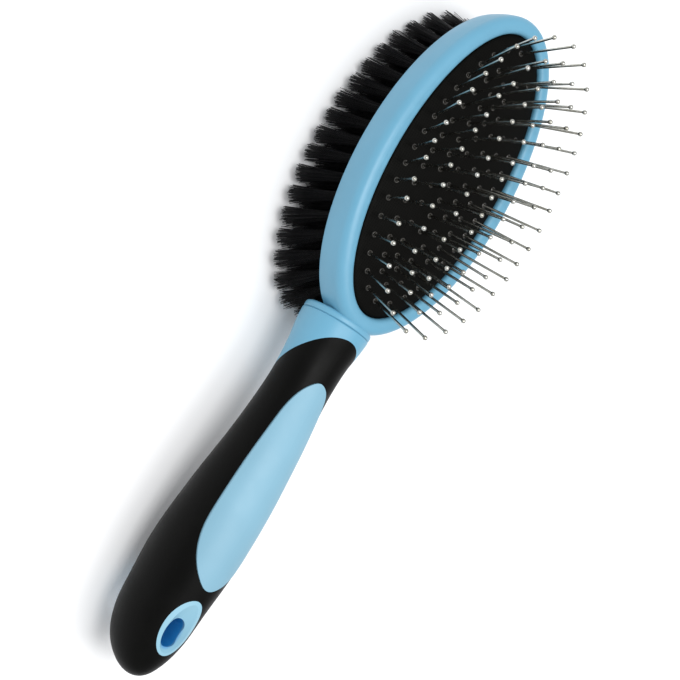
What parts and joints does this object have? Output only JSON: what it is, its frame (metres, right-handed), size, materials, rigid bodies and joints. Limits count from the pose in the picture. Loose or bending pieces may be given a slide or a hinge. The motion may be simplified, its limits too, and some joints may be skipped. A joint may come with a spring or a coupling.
{
  "type": "bristle brush",
  "caption": "Double-sided pet brush: oval head with ball-tipped pins in a rubber cushion on one face and nylon bristle tufts on the other, on a rubber-gripped handle with a hang hole.",
  "frame": {"origin": "centre of the bounding box's bottom face, where the bristle tips rest", "axes": "+X from the head's tip to the handle's butt, +Z out of the pin side"},
  "size_m": [0.234, 0.0619, 0.0575],
  "materials": {
    "frame_blue": "satin light-blue moulded plastic",
    "grip_black": "matt soft-touch black rubber",
    "inset_blue": "satin pale-blue moulded plastic",
    "cushion_rubber": "matt black rubber with a fine woven texture",
    "backing_cloth": "woven dark cloth bonded under the cushion",
    "block_black": "matt black moulded plastic",
    "anchor_steel": "flat steel wire",
    "pin_steel": "polished steel wire with ball tips",
    "tuft_nylon": "black nylon filaments"
  },
  "bodies": {
    "root": {"head_frame": "frame_blue", "handle_core": "frame_blue", "grip_overmould": "grip_black", "grip_inset": "inset_blue", "hang_hole_eyelet": "inset_blue", "pin_cushion": "cushion_rubber", "cushion_backing": "backing_cloth", "bristle_block": "block_black", "anchors_outer_ring": "anchor_steel", "anchors_second_ring": "anchor_steel", "anchors_third_ring": "anchor_steel", "anchors_fourth_ring": "anchor_steel", "anchors_inner_ring": "anchor_steel", "pins_outer_ring": "pin_steel", "pins_second_ring": "pin_steel", "pins_third_ring": "pin_steel", "pins_centre_row": "pin_steel", "tufts_outer_ring": "tuft_nylon", "tufts_second_ring": "tuft_nylon", "tufts_third_ring": "tuft_nylon", "tufts_fourth_ring": "tuft_nylon", "tufts_inner_ring": "tuft_nylon"}
  },
  "joints": []
}
